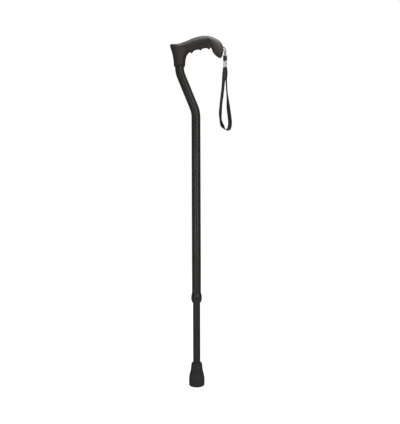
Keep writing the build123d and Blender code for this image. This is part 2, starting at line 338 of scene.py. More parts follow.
# %% Ring helpers
def start_ring(name, corners, centre, half_x, half_y):
    """Add a circle, go into edit mode and give it its size and place, in millimetres."""
    bpy.ops.object.select_all(action="DESELECT")
    bpy.ops.mesh.primitive_circle_add(vertices=corners, radius=MM)
    bpy.context.object.name = name
    bpy.ops.object.mode_set(mode="EDIT")
    bpy.ops.transform.resize(value=(half_x, half_y, 1), center_override=(0, 0, 0))
    bpy.ops.transform.translate(value=Vector(centre) * MM)
    return Vector(centre), half_x, half_y, 0.0


def next_ring(ring, centre, half_x, half_y, tilt=0.0):
    """Extrude the selected ring, and give the new one its place, size and tilt about Y."""
    old_centre, old_x, old_y, old_tilt = ring
    pivot = old_centre * MM
    bpy.ops.mesh.extrude_region_move()
    turn_about_y(-old_tilt, pivot)
    bpy.ops.transform.resize(value=(half_x / old_x, half_y / old_y, 1), center_override=pivot)
    turn_about_y(tilt, pivot)
    bpy.ops.transform.translate(value=(Vector(centre) - old_centre) * MM)
    return Vector(centre), half_x, half_y, tilt


def turn_about_y(angle, pivot):
    """Turn what is selected about Y. With no window, the operator turns the other way round."""
    bpy.ops.transform.rotate(value=-angle, orient_axis="Y", center_override=pivot)


print("ring helpers: start_ring, next_ring, turn_about_y")

# %% [markdown]
# Picking by hand is clicking. In code a test on each point does it, so the same points
# are picked every time. Modifiers are added and applied in one go, so a finished piece is
# a plain mesh, and a cutter is deleted once it has cut.

# %% Picking and cutting helpers
def pick(test):
    """Select only the points that pass a test."""
    cage = bmesh.from_edit_mesh(bpy.context.edit_object.data)
    for point in cage.verts:
        point.select = bool(test(point))
    cage.select_mode = {"VERT"}
    cage.select_flush_mode()
    bmesh.update_edit_mesh(bpy.context.edit_object.data)


def modify(kind, **settings):
    """Add a modifier to the active piece and apply it."""
    modifier = bpy.context.object.modifiers.new(kind.lower(), kind)
    for key, value in settings.items():
        setattr(modifier, key, value)
    bpy.ops.object.modifier_apply(modifier=modifier.name)


def cut_away(piece, cutter):
    """Cut one piece's shape out of another, and delete the cutter."""
    bpy.ops.object.select_all(action="DESELECT")
    bpy.context.view_layer.objects.active = piece
    piece.select_set(True)
    modify("BOOLEAN", object=cutter, operation="DIFFERENCE", solver="EXACT")
    bpy.data.objects.remove(cutter)


print("picking helpers: pick, modify, cut_away")

# %% [markdown]
# A finished piece gets its finish, hides the measured part that it stands for, and rides
# on that part's body, so it moves when the joint does.

# %% Placing helpers
def size_of(piece):
    """A piece's size in millimetres, to print."""
    columns = zip(*[v.co / MM for v in piece.data.vertices])
    return " x ".join(f"{max(column) - min(column):.1f}" for column in map(list, columns))


def place(piece, finish, slot, body, *stands_for):
    """Give a piece its finish, and put it on the body of the parts that it stands for."""
    piece.data.materials.clear()
    piece.data.materials.append(finish)
    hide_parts(*stands_for)
    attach(piece, body)
    print(f"{piece.name}: {size_of(piece)} mm" if piece.type == "MESH" else piece.name)


print("placing helpers: size_of, place")

# %% [markdown]
# Every finish starts from one shader and a pattern or two. The pattern's scale is worked
# out from a real size: one over the size in metres, because Object coordinates are metres.
# The sizes below are in millimetres, as a maker gives them.

# %% Finish helpers
def new_finish(name):
    """A new material: the material, its node tree and its shader."""
    finish = bpy.data.materials.new(name)
    finish.use_nodes = True
    return finish, finish.node_tree, finish.node_tree.nodes["Principled BSDF"]


def per_mm(size):
    """The scale that makes a pattern's grain this many millimetres wide."""
    return 1 / (size * MM)


print("a 1 mm grain has a scale of", per_mm(1))

# %% [markdown]
# The grip is soft black plastic, moulded in a steel mould whose wall was etched by sparks.
# That gives it a fine, dull grain with a slow sheen, a little glossier where hands and
# packing have rubbed it. A fine noise makes the bumps of the grain, which are drawn coarser
# than the real tenth of a millimetre so that they show, and a wide one the sheen.

# %% Grip plastic finish
grip_plastic, tree, shader = new_finish("spark_etched_grip_plastic")
place_in = add_node(tree, "ShaderNodeTexCoord")
grain = add_node(tree, "ShaderNodeTexNoise", Scale=per_mm(0.9), Detail=3.0, Roughness=0.6,
                 links=[("Vector", place_in.outputs["Object"])])
rubbed = add_node(tree, "ShaderNodeTexNoise", Scale=per_mm(11), Detail=4.0, Roughness=0.65,
                  links=[("Vector", place_in.outputs["Object"])])
colour = add_node(tree, "ShaderNodeValToRGB", links=[("Fac", rubbed.outputs["Fac"])])
colour.color_ramp.elements[0].position = 0.35
colour.color_ramp.elements[0].color = hex_colour("#1d1814")
colour.color_ramp.elements[1].position = 0.7
colour.color_ramp.elements[1].color = hex_colour("#26201c")
gloss = add_node(tree, "ShaderNodeMapRange",
                 From_Min=0.3, From_Max=0.7, To_Min=0.62, To_Max=0.48,
                 links=[("Value", rubbed.outputs["Fac"])])

# %% [markdown]
# The nose is painted paler and blotchy. The paleness is a painted highlight, standing in for
# the light that the bulging nose catches, and the blotches are its mottled grain. A painted map
# could hold them, but a soft ball round the nose, broken up by a noise, needs no map: where
# both are strong, the paler colour comes through.

# %% Painted highlight on the nose
NOSE = Vector((0.063, 0, 0.838))
NOSE_REACH = 0.036
round_nose = add_node(tree, "ShaderNodeMapping", Location=-NOSE / NOSE_REACH,
                      Scale=Vector((1, 1, 1)) / NOSE_REACH,
                      links=[("Vector", place_in.outputs["Object"])])
near_nose = add_node(tree, "ShaderNodeTexGradient", gradient_type="SPHERICAL",
                     links=[("Vector", round_nose.outputs["Vector"])])
blotches = add_node(tree, "ShaderNodeTexNoise", Scale=per_mm(4), Detail=4.0, Roughness=0.7,
                    links=[("Vector", place_in.outputs["Object"])])
# Painted highlight: where the ball and the blotches are both strong, the nose is painted paler,
# for the light its bulge catches.
nose_highlight_and_mottle = add_node(tree, "ShaderNodeMath", operation="MULTIPLY", use_clamp=True,
                   links=[(0, near_nose.outputs["Fac"]), (1, blotches.outputs["Fac"])])
# A colour mix has its two colours in sockets 6 and 7, and gives the result in output 2.
painted_nose_highlight_mix = add_node(tree, "ShaderNodeMix", data_type="RGBA",
                links=[("Factor", nose_highlight_and_mottle.outputs["Value"]), (6, colour.outputs["Color"])])
# The paler colour of the painted highlight on the nose.
painted_nose_highlight_mix.inputs[7].default_value = hex_colour("#55504c")
bump = add_node(tree, "ShaderNodeBump", Strength=0.4, Distance=0.08 * MM,
                links=[("Height", grain.outputs["Fac"])])
add_node(tree, shader, IOR=1.5, Specular_IOR_Level=0.5,
         links=[("Base Color", painted_nose_highlight_mix.outputs[2]), ("Roughness", gloss.outputs["Result"]),
                ("Normal", bump.outputs["Normal"])])
print(grip_plastic.name, len(tree.nodes), "nodes")

# %% [markdown]
# The handle's cover is one moulding: a stem that takes the tube, a flared heel, a grip with
# three finger ridges under it, and a nose that turns down to keep the hand from slipping
# off. It could be carved from a block, but its sections change slowly from stem to nose,
# so a ring starts inside the stem's mouth and is extruded section by section. A section is
# given by its outer and inner point in the side view and by half its depth, and under the
# grip also by how far its lowest points are pulled down into a finger ridge.

# %% Handle sections
HANDLE_CORNERS = 24
HANDLE_FULLNESS = 1.012          # makes up for what subdivision rounds away
STEM_X = -40.5
TUBE_R = 11.1
BORE_TOP = 823.0

mouth_sections = [                # z, radius: down inside the bore, then out round the lip
    (792.0, TUBE_R + 0.15), (790.2, TUBE_R + 0.25),
    (789.5, TUBE_R + 0.9), (789.3, TUBE_R + 1.9),
]
cover_sections = [                # outer x, z; inner x, z; half depth; ridge height or None
    (-54.1, 789.7, -26.6, 789.7, 13.6, None), (-54.4, 791.2, -26.3, 791.2, 13.9, None),
    (-55.1, 804.0, -25.6, 803.0, 13.9, None), (-57.5, 819.0, -23.6, 813.5, 13.9, None),
    (-61.0, 830.5, -20.4, 819.0, 13.8, None), (-64.7, 840.8, -17.0, 822.6, 13.7, None),
    (-62.6, 844.2, -15.0, 824.6, 13.5, None), (-55.0, 843.5, -12.9, 826.6, 13.4, 0),
    (-49.5, 843.7, -11.0, 828.0, 13.4, 4.6), (-44.5, 844.4, -8.4, 829.1, 13.4, 4.6),
    (-39.0, 845.6, -6.2, 830.1, 13.4, 0),
    (-27.0, 849.5, -0.5, 832.2, 13.4, 0), (-12.0, 856.0, 8.7, 834.4, 13.4, 0),
    (-7.0, 858.1, 10.9, 834.9, 13.4, 3.9), (-2.5, 859.7, 13.5, 835.3, 13.4, 3.9),
    (2.5, 861.1, 15.7, 835.8, 13.4, 0),
    (9.0, 862.8, 22.0, 836.7, 13.4, 0), (14.0, 863.7, 29.7, 837.5, 13.3, 0),
    (17.5, 864.1, 31.9, 837.7, 13.2, 4.4), (21.0, 864.3, 34.4, 837.8, 13.1, 4.4),
    (24.5, 864.3, 36.5, 837.8, 12.8, 0),
    (28.0, 864.1, 38.9, 836.0, 14.2, None), (34.5, 863.3, 40.2, 832.2, 14.7, None),
    (45.0, 860.4, 41.0, 828.6, 14.8, None), (56.0, 854.5, 41.8, 825.4, 14.9, None),
    (64.6, 846.5, 43.8, 821.9, 15.0, None), (69.0, 836.4, 48.4, 817.3, 14.4, None),
    (68.2, 825.2, 54.0, 812.9, 12.4, None), (67.2, 818.4, 57.8, 810.8, 9.8, None),
    (65.9, 814.3, 61.0, 809.4, 6.6, None),
]


def section_ring(outer, inner, half_depth):
    """A section's centre, half sizes and tilt, from its outer and inner point."""
    run = Vector((inner[0] - outer[0], 0, inner[1] - outer[1]))
    centre = Vector((outer[0], 0, outer[1])) + run / 2
    tilt = math.atan2(-run.z, run.x)
    return centre, run.length / 2 * HANDLE_FULLNESS, half_depth * HANDLE_FULLNESS, tilt


print("sections of the cover:", len(cover_sections))

# %% [markdown]
# The ring starts at the top of the bore for the tube, goes down to the mouth, round its lip,
# and up the outside to the nose, so one closed skin has the socket in it.

# %% Handle cover
BORE_R = TUBE_R + 0.1
ring = start_ring("handle_shell", HANDLE_CORNERS, (STEM_X, 0, BORE_TOP), BORE_R, BORE_R)
bpy.ops.mesh.edge_face_add()
for z, radius in mouth_sections:
    ring = next_ring(ring, (STEM_X, 0, z), radius * HANDLE_FULLNESS, radius * HANDLE_FULLNESS)
first = len(mouth_sections) + 1
ridge_rings = []
for number, (*ends, half_depth, ridge) in enumerate(cover_sections):
    ring = next_ring(ring, *section_ring(ends[:2], ends[2:], half_depth))
    if ridge is not None:
        ridge_rings.append((first + number, ring, ridge))
bpy.ops.mesh.edge_face_add()
print("rings under the grip:", len(ridge_rings))

# %% [markdown]
# Under the grip each ring's lowest points are pressed flat into a band, and on three pairs
# of rings the band is pulled down into a ridge between two fingers. A crease keeps the
# band's two corners firm when two levels of subdivision round everything else. The ridges
# could be separate pieces pushed into the grip, but on the real cover they are one skin.

# %% Finger ridges
BAND_ANGLE = math.radians(37)
BAND_WIDENING = 1.15
BAND_CREASE = 0.55
corner_points = set()
for number, (centre, half_x, half_y, tilt), ridge in ridge_rings:
    down = Vector((math.cos(tilt), 0, -math.sin(tilt)))
    low = centre * MM + down * half_x * MM
    span = range(number * HANDLE_CORNERS, (number + 1) * HANDLE_CORNERS)
    reach = half_x * MM * math.cos(BAND_ANGLE)
    pick(lambda p: p.index in span and (p.co - centre * MM).dot(down) > reach)
    turn_about_y(-tilt, low)
    bpy.ops.transform.resize(value=(0, BAND_WIDENING, 1), center_override=low)
    turn_about_y(tilt, low)
    bpy.ops.transform.translate(value=(0, 0, -ridge * MM))
    cage = bmesh.from_edit_mesh(bpy.context.edit_object.data)
    corner_points |= {p.index for p in cage.verts if p.select and abs(p.co.y) > 5 * MM}
pick(lambda p: p.index in corner_points)
bpy.ops.transform.edge_crease(value=BAND_CREASE)
bpy.ops.object.mode_set(mode="OBJECT")
handle_shell = bpy.context.object
modify("SUBSURF", levels=2, render_levels=2)
print(f"handle: {size_of(handle_shell)} mm, {len(handle_shell.data.polygons)} faces")

# %% [markdown]
# Two cuts are made in the finished cover, as in the real one: the well of the screw that
# holds the handle on the tube, on its far side, and the slot in the nose where the tether
# goes round its pin. A Boolean with a plain cylinder makes each.

# %% Screw well and tether slot
def cylinder_cutter(radius, depth, centre, corners=48):
    """A cylinder that lies along Y."""
    bpy.ops.object.select_all(action="DESELECT")
    bpy.ops.mesh.primitive_cylinder_add(
        vertices=corners, radius=radius * MM, depth=depth * MM,
        location=Vector(centre) * MM, rotation=(math.radians(90), 0, 0))
    return bpy.context.object


SCREW_Z = 804.0
WELL_R = 3.7
WELL_FLOOR_Y = 11.6
PIN_X = 64.0
PIN_Z = 835.0
EYE_SLOT_R = 6.8
EYE_SLOT_WIDTH = 4.4
WELL_CUT = 6                      # longer than the well, to reach out of the cover
well_middle = (STEM_X, WELL_FLOOR_Y + WELL_CUT / 2, SCREW_Z)
cut_away(handle_shell, cylinder_cutter(WELL_R, WELL_CUT, well_middle))
cut_away(handle_shell, cylinder_cutter(EYE_SLOT_R, EYE_SLOT_WIDTH, (PIN_X, 0, PIN_Z)))
bpy.ops.object.shade_smooth_by_angle(angle=math.radians(50))
place(handle_shell, grip_plastic, "grip_plastic", "upper_cane", "handle_cover")

# %% [markdown]
# The tubes are aluminium with a satin black coat of baked powder. Powder melts into a skin
# that is faintly wavy, like the skin of an orange, so glints on it are soft and a bit
# ragged. The measured tubes already have the right shape, holes and bends, so they stay and
# only get this finish.

# %% Powder coat finish
powder_coat, tree, shader = new_finish("satin_black_powder_coat")
place_in = add_node(tree, "ShaderNodeTexCoord")
peel = add_node(tree, "ShaderNodeTexNoise", Scale=per_mm(2.2), Detail=2.0,
                links=[("Vector", place_in.outputs["Object"])])
handled = add_node(tree, "ShaderNodeTexNoise", Scale=per_mm(45), Detail=5.0, Roughness=0.7,
                   links=[("Vector", place_in.outputs["Object"])])
colour = add_node(tree, "ShaderNodeValToRGB", links=[("Fac", handled.outputs["Fac"])])
colour.color_ramp.elements[0].position = 0.3
colour.color_ramp.elements[0].color = hex_colour("#1d1a17")
colour.color_ramp.elements[1].position = 0.75
colour.color_ramp.elements[1].color = hex_colour("#25211d")
gloss = add_node(tree, "ShaderNodeMapRange",
                 From_Min=0.3, From_Max=0.7, To_Min=0.33, To_Max=0.26,
                 links=[("Value", handled.outputs["Fac"])])
bump = add_node(tree, "ShaderNodeBump", Strength=0.15, Distance=0.04 * MM,
                links=[("Height", peel.outputs["Fac"])])
add_node(tree, shader, IOR=1.5, Specular_IOR_Level=0.5,
         links=[("Base Color", colour.outputs["Color"]), ("Roughness", gloss.outputs["Result"]),
                ("Normal", bump.outputs["Normal"])])
print(powder_coat.name, len(tree.nodes), "nodes")

# %% [markdown]
# The tip is vulcanised rubber filled with soot. It is the dullest part, grey-black, with a
# bloom of dust in its low places and a very fine open grain.

# %% Tip rubber finish
tip_rubber, tree, shader = new_finish("vulcanised_black_rubber")
place_in = add_node(tree, "ShaderNodeTexCoord")
grain = add_node(tree, "ShaderNodeTexNoise", Scale=per_mm(0.8), Detail=4.0, Roughness=0.7,
                 links=[("Vector", place_in.outputs["Object"])])
bloom = add_node(tree, "ShaderNodeTexNoise", Scale=per_mm(14), Detail=5.0, Roughness=0.7,
                 links=[("Vector", place_in.outputs["Object"])])
colour = add_node(tree, "ShaderNodeValToRGB", links=[("Fac", bloom.outputs["Fac"])])
colour.color_ramp.elements[0].position = 0.3
colour.color_ramp.elements[0].color = hex_colour("#1b1816")
colour.color_ramp.elements[1].position = 0.75
colour.color_ramp.elements[1].color = hex_colour("#26221f")
gloss = add_node(tree, "ShaderNodeMapRange",
                 From_Min=0.3, From_Max=0.7, To_Min=0.62, To_Max=0.78,
                 links=[("Value", bloom.outputs["Fac"])])
bump = add_node(tree, "ShaderNodeBump", Strength=0.4, Distance=0.08 * MM,
                links=[("Height", grain.outputs["Fac"])])
add_node(tree, shader, IOR=1.52, Specular_IOR_Level=0.4,
         links=[("Base Color", colour.outputs["Color"]), ("Roughness", gloss.outputs["Result"]),
                ("Normal", bump.outputs["Normal"])])
print(tip_rubber.name, len(tree.nodes), "nodes")

# %% [markdown]
# The rubber tip is round, so a ring is extruded up its outline: out across the sole with
# its two grip grooves, up the skirt, in over the shoulder and down inside the socket. It
# could be spun, but a spun outline leaves a seam to close.

# %% Rubber tip
FLUTES = 14
POINTS_PER_FLUTE = 6
TIP_CORNERS = FLUTES * POINTS_PER_FLUTE
tip_outline = [                   # radius, z
    (7.7, 0.0), (8.0, 0.3), (8.0, 1.6), (9.6, 1.6), (9.6, 0.3), (9.9, 0.0), (12.2, 0.0),
    (12.5, 0.3), (12.5, 1.6), (14.1, 1.6), (14.1, 0.3), (14.4, 0.0), (18.2, 0.0), (18.7, 0.1),
    (18.9, 0.6), (19.1, 4.0), (19.3, 10.0), (19.2, 15.0), (19.0, 19.5), (18.8, 21.0),
    (18.0, 25.0), (17.0, 29.5), (15.9, 33.0), (15.1, 36.5), (14.8, 39.5), (14.5, 41.0),
    (14.2, 43.0), (13.9, 46.5), (13.6, 50.5), (13.2, 53.0), (12.4, 54.5), (11.2, 55.0),
    (9.7, 54.9), (9.2, 54.4), (9.1, 52.5), (9.1, 8.6),
]
ring = start_ring("rubber_foot", TIP_CORNERS, (0, 0, 0), 3.0, 3.0)
bpy.ops.mesh.edge_face_add()
for radius, z in tip_outline:
    ring = next_ring(ring, (0, 0, z), radius, radius)
bpy.ops.mesh.edge_face_add()
print("rings of the tip:", len(tip_outline))

# %% [markdown]
# The flutes that let the skirt flex are columns of points, pressed inwards between two
# heights. Half of the columns stay out as ribs, and subdivision rounds both.

# %% Flutes
FLUTE_DEPTH = 1.9
FLUTE_LOW_Z = 22
FLUTE_HIGH_Z = 40
SKIRT_R = 17                      # the skirt's radius halfway up the flutes
SOCKET_SAFE_R = 12                # points nearer the axis belong to the socket


def in_flute(point):
    """Whether a point of the skirt is in the middle columns of a flute."""
    if not FLUTE_LOW_Z < point.co.z / MM < FLUTE_HIGH_Z:
        return False
    if point.co.xy.length < SOCKET_SAFE_R * MM:
        return False
    column = round(math.atan2(point.co.y, point.co.x) / math.tau * TIP_CORNERS)
    return column % POINTS_PER_FLUTE in (2, 3, 4)


pick(in_flute)
inwards = 1 - FLUTE_DEPTH / SKIRT_R
bpy.ops.transform.resize(value=(inwards, inwards, 1), center_override=(0, 0, 0))
bpy.ops.mesh.select_all(action="SELECT")
bpy.ops.mesh.normals_make_consistent(inside=False)
bpy.ops.object.mode_set(mode="OBJECT")
rubber_foot = bpy.context.object
modify("SUBSURF", levels=2, render_levels=2)
bpy.ops.object.shade_smooth()
place(rubber_foot, tip_rubber, "tip_rubber", "lower_leg", "rubber_tip")

# %% [markdown]
# The collar that clamps the two tubes is moulded nylon, whose mould was blasted to a satin
# skin. It is a little glossier than the grip, with no grain that the eye can count.

# %% Nylon finish
black_nylon, tree, shader = new_finish("moulded_black_nylon")
place_in = add_node(tree, "ShaderNodeTexCoord")
satin = add_node(tree, "ShaderNodeTexNoise", Scale=per_mm(1.0), Detail=2.0,
                 links=[("Vector", place_in.outputs["Object"])])
handled = add_node(tree, "ShaderNodeTexNoise", Scale=per_mm(9), Detail=4.0,
                   links=[("Vector", place_in.outputs["Object"])])
colour = add_node(tree, "ShaderNodeValToRGB", links=[("Fac", handled.outputs["Fac"])])
colour.color_ramp.elements[0].position = 0.3
colour.color_ramp.elements[0].color = hex_colour("#1a1714")
colour.color_ramp.elements[1].position = 0.7
colour.color_ramp.elements[1].color = hex_colour("#231f1c")
bump = add_node(tree, "ShaderNodeBump", Strength=0.3, Distance=0.05 * MM,
                links=[("Height", satin.outputs["Fac"])])
add_node(tree, shader, IOR=1.53, Roughness=0.42, Specular_IOR_Level=0.5,
         links=[("Base Color", colour.outputs["Color"]), ("Normal", bump.outputs["Normal"])])
print(black_nylon.name, len(tree.nodes), "nodes")

# %% [markdown]
# The collar's upper half is fixed to the upper tube. It is a turned shape, so its section
# is extruded round the axis ring by ring and closed, and a bevel breaks its edges.

# %% Collet
COLLAR_CORNERS = 96
collet_outline = [                # radius, z: round the section and back to where it starts
    (11.1, 227.0), (11.7, 227.0), (12.3, 223.8), (12.9, 221.0), (13.2, 218.6), (13.2, 216.0),
    (11.4, 216.0), (11.4, 211.0), (10.6, 209.0), (9.3, 209.0), (9.3, 217.0), (11.1, 217.0),
]


def turned_ring(name, corners, outline):
    """A ring of any section: its outline is extruded and closed, and stays in edit mode."""
    (radius, z), *others = outline
    ring = start_ring(name, corners, (0, 0, z), radius, radius)
    for radius, z in [*others, outline[0]]:
        ring = next_ring(ring, (0, 0, z), radius, radius)
    bpy.ops.mesh.select_all(action="SELECT")
    bpy.ops.mesh.remove_doubles(threshold=0.02 * MM)
    bpy.ops.mesh.normals_make_consistent(inside=False)


turned_ring("collet_body", COLLAR_CORNERS, collet_outline)
bpy.ops.object.mode_set(mode="OBJECT")
collet_body = bpy.context.object
modify("BEVEL", width=0.22 * MM, segments=3,
       limit_method="ANGLE", angle_limit=math.radians(35))
bpy.ops.object.shade_smooth_by_angle(angle=math.radians(35))
place(collet_body, black_nylon, "nylon_black", "upper_cane", "collet")

# %% [markdown]
# The collar's lower half is the ring that is gripped and turned, so shallow grooves for the
# fingertips run round it. They are columns of points pressed inwards, as the tip's flutes
# are, and subdivision makes them soft. Grooves cut with a Boolean would have hard edges.

# %% Lock ring
GRIPS = 12
POINTS_PER_GRIP = 6
GRIP_DEPTH = 0.35
GRIP_LOW_Z = 208
GRIP_HIGH_Z = 214
RING_R = 13
RING_WALL_R = 12.2                # points nearer the axis are on the ring's inside
ring_outline = [
    (11.9, 215.7), (12.5, 215.65), (13.0, 215.3), (13.2, 214.7), (13.2, 213.8), (13.2, 212.6),
    (12.95, 210.4), (12.4, 208.2), (11.6, 206.0), (11.0, 204.6), (10.5, 204.1), (9.6, 204.0),
    (9.3, 204.2), (9.3, 206.2), (9.6, 206.4), (10.7, 206.5), (11.6, 208.8), (11.7, 210.0),
    (11.7, 215.4),
]
turned_ring("grip_ring", GRIPS * POINTS_PER_GRIP, ring_outline)


def in_grip(point):
    """Whether a point of the ring's outer wall is in one of its finger grooves."""
    if not GRIP_LOW_Z < point.co.z / MM < GRIP_HIGH_Z:
        return False
    if point.co.xy.length < RING_WALL_R * MM:
        return False
    column = round(math.atan2(point.co.y, point.co.x) / math.tau * GRIPS * POINTS_PER_GRIP)
    return column % POINTS_PER_GRIP in (2, 3, 4)


pick(in_grip)
inwards = 1 - GRIP_DEPTH / RING_R
bpy.ops.transform.resize(value=(inwards, inwards, 1), center_override=(0, 0, 0))
bpy.ops.object.mode_set(mode="OBJECT")
grip_ring = bpy.context.object
modify("SUBSURF", levels=2, render_levels=2)
bpy.ops.object.shade_smooth()
place(grip_ring, black_nylon, "nylon_black", "twist_lock", "lock_ring")

# %% [markdown]
# The loop and the tab are woven nylon tape. Its thick threads run along it and thinner ones
# across it, over one and under the next. The tape's own UV map is in millimetres, so the
# pattern follows every twist: a checker says which thread is on top, and two waves round
# the threads. A little sheen stands for the fibres' fuzz. A thread is a millimetre wide, so
# the threads only show from near.

# %% Webbing finish
THREAD = 1.0
webbing, tree, shader = new_finish("woven_black_nylon_tape")
place_in = add_node(tree, "ShaderNodeUVMap", uv_map="tape")
over = add_node(tree, "ShaderNodeTexChecker", Scale=1 / THREAD,
                Color1=(1, 1, 1, 1), Color2=(0, 0, 0, 1),
                links=[("Vector", place_in.outputs["UV"])])
# A wave's bands are pi / 10 apart at a scale of 1.
warp = add_node(tree, "ShaderNodeTexWave", bands_direction="X", Scale=math.pi / 10 / THREAD,
                links=[("Vector", place_in.outputs["UV"])])
weft = add_node(tree, "ShaderNodeTexWave", bands_direction="Y", Scale=math.pi / 10 / THREAD,
                links=[("Vector", place_in.outputs["UV"])])
threads = add_node(tree, "ShaderNodeMix", data_type="FLOAT",
                   links=[("Factor", over.outputs["Fac"]),
                          ("A", weft.outputs["Fac"]), ("B", warp.outputs["Fac"])])
colour = add_node(tree, "ShaderNodeValToRGB", links=[("Fac", threads.outputs["Result"])])
colour.color_ramp.elements[0].color = hex_colour("#0c0c0c")
colour.color_ramp.elements[1].color = hex_colour("#1b1a19")
bump = add_node(tree, "ShaderNodeBump", Strength=0.6, Distance=0.25 * MM,
                links=[("Height", threads.outputs["Result"])])
add_node(tree, shader, IOR=1.53, Roughness=0.72, Sheen_Weight=0.05, Sheen_Roughness=0.4,
         links=[("Base Color", colour.outputs["Color"]), ("Normal", bump.outputs["Normal"])])
print(webbing.name, len(tree.nodes), "nodes")
place(wrist_loop, webbing, "webbing_black", "wrist_strap", "strap_loop")

# %% [markdown]
# The tether is a hollow braid of filament nylon. Its strands cross as two opposite spirals,
# too fine to count from arm's length, so two slanted waves, whose bands are 0.7
# millimetres apart, are drawn over each other.

# %% Braid finish
STRAND = 0.7
braid, tree, shader = new_finish("braided_black_nylon_cord")
place_in = add_node(tree, "ShaderNodeTexCoord")
spirals = []
for slant in (45, -45):
    slanted = add_node(tree, "ShaderNodeMapping", Rotation=(0, math.radians(slant), 0),
                       links=[("Vector", place_in.outputs["Object"])])
    spirals.append(add_node(tree, "ShaderNodeTexWave", bands_direction="Z",
                            Scale=math.pi / 10 * per_mm(STRAND),
                            links=[("Vector", slanted.outputs["Vector"])]))
strands = add_node(tree, "ShaderNodeMath", operation="MULTIPLY",
                   links=[(0, spirals[0].outputs["Fac"]), (1, spirals[1].outputs["Fac"])])
colour = add_node(tree, "ShaderNodeValToRGB", links=[("Fac", strands.outputs["Value"])])
colour.color_ramp.elements[0].color = hex_colour("#0c0b0b")
colour.color_ramp.elements[1].color = hex_colour("#1c1a1a")
bump = add_node(tree, "ShaderNodeBump", Strength=0.5, Distance=0.12 * MM,
                links=[("Height", strands.outputs["Value"])])
add_node(tree, shader, IOR=1.53, Roughness=0.75, Specular_IOR_Level=0.3,
         links=[("Base Color", colour.outputs["Color"]), ("Normal", bump.outputs["Normal"])])
place(tether, braid, "cord_black", "tether", "tether_cord")

# %% [markdown]
# The tab is a short end of the same tape, folded over the tether and sewn flat. A strip
# goes up, is spun half round the fold and goes down again, and gets its thickness last.
# Its own UV map carries the weave round the fold.

# %% Strap tab
TAB_WIDTH = 9.8
TAB_LAYER = 1.6
FOLD_R = 0.9
FOLD_Z = 815.3
TAB_LOW_Z = 800.0
FOLD_STEPS = 8
bpy.ops.object.select_all(action="DESELECT")
bpy.ops.mesh.primitive_plane_add(size=1)
bpy.context.object.name = "folded_tab"
bpy.ops.object.mode_set(mode="EDIT")
tab_height = FOLD_Z - TAB_LOW_Z
bpy.ops.transform.resize(value=(TAB_WIDTH * MM, tab_height * MM, 1), center_override=(0, 0, 0))
bpy.ops.transform.rotate(value=math.radians(90), orient_axis="X", center_override=(0, 0, 0))
tab_middle = Vector((STRAP_X, -FOLD_R, TAB_LOW_Z + tab_height / 2))
bpy.ops.transform.translate(value=tab_middle * MM)
pick(lambda p: p.co.z > (FOLD_Z - 1) * MM)
bpy.ops.mesh.spin(steps=FOLD_STEPS, angle=math.radians(-180),
                  center=(0, 0, FOLD_Z * MM), axis=(1, 0, 0))
bpy.ops.mesh.extrude_region_move(TRANSFORM_OT_translate={"value": (0, 0, -tab_height * MM)})
bpy.ops.mesh.select_all(action="SELECT")
bpy.ops.mesh.remove_doubles(threshold=0.01 * MM)
bpy.ops.mesh.normals_make_consistent(inside=False)
bpy.ops.object.mode_set(mode="OBJECT")
folded_tab = bpy.context.object
print(f"tab strip: {size_of(folded_tab)} mm")

# %% [markdown]
# The strip gets its thickness once its shape is done, and a bevel rounds its selvedges. The
# UV map then follows the strip up the front, round the fold and down the back.

# %% Tab thickness and map
modify("SOLIDIFY", thickness=TAB_LAYER * MM, offset=0)
modify("BEVEL", width=0.35 * MM, segments=3,
       limit_method="ANGLE", angle_limit=math.radians(60))
tape_uv = folded_tab.data.uv_layers.new(name="tape")
for loop in folded_tab.data.loops:
    x, y, z = folded_tab.data.vertices[loop.vertex_index].co / MM
    tape_uv.data[loop.index].uv = (x - STRAP_X, z if y < 0 else 2 * FOLD_Z - z)
bpy.ops.object.shade_smooth_by_angle(angle=math.radians(40))
place(folded_tab, webbing, "webbing_black", "wrist_strap", "strap_tab")

# %% [markdown]
# The tab is sewn with bonded nylon thread, which is twisted and has a hard, slightly glossy
# skin of resin. It is a shade lighter than the tape, so that the seam shows.

# %% Thread finish
thread, tree, shader = new_finish("bonded_black_nylon_thread")
place_in = add_node(tree, "ShaderNodeTexCoord")
twist = add_node(tree, "ShaderNodeTexNoise", Scale=per_mm(0.3),
                 links=[("Vector", place_in.outputs["Object"])])
bump = add_node(tree, "ShaderNodeBump", Strength=0.4, Distance=0.05 * MM,
                links=[("Height", twist.outputs["Fac"])])
add_node(tree, shader, Base_Color=hex_colour("#2b2826"), IOR=1.53, Roughness=0.5,
         links=[("Normal", bump.outputs["Normal"])])
print(thread.name, len(tree.nodes), "nodes")

# %% [markdown]
# The seam is a box, on the front and on the back. Its stitches are laid out first, as a
# place and a turn for each: lying ones along the top and the bottom, upright ones at the
# sides.

# %% Seam layout
STITCH_STEP = 1.9
BOX_HALF_WIDTH = 3.7
BOX_LOW_Z = 803.6
BOX_HIGH_Z = 813.1
columns = int(2 * BOX_HALF_WIDTH / STITCH_STEP) + 1
rows = int((BOX_HIGH_Z - BOX_LOW_Z) / STITCH_STEP)
lay_out = []                      # across, height, turn
for column in range(columns):
    across = (column + 0.5) / columns * 2 * BOX_HALF_WIDTH - BOX_HALF_WIDTH
    lay_out += [(across, BOX_LOW_Z, 0), (across, BOX_HIGH_Z, 0)]
for row in range(rows):
    up = BOX_LOW_Z + (row + 0.5) / rows * (BOX_HIGH_Z - BOX_LOW_Z)
    lay_out += [(side * BOX_HALF_WIDTH, up, math.radians(90)) for side in (-1, 1)]
print("stitches in a box:", len(lay_out))

# %% [markdown]
# One stitch is a short run of thread whose two ends dive into the tape. A ball is drawn out
# into a grain, and the points near its two ends are pushed in.

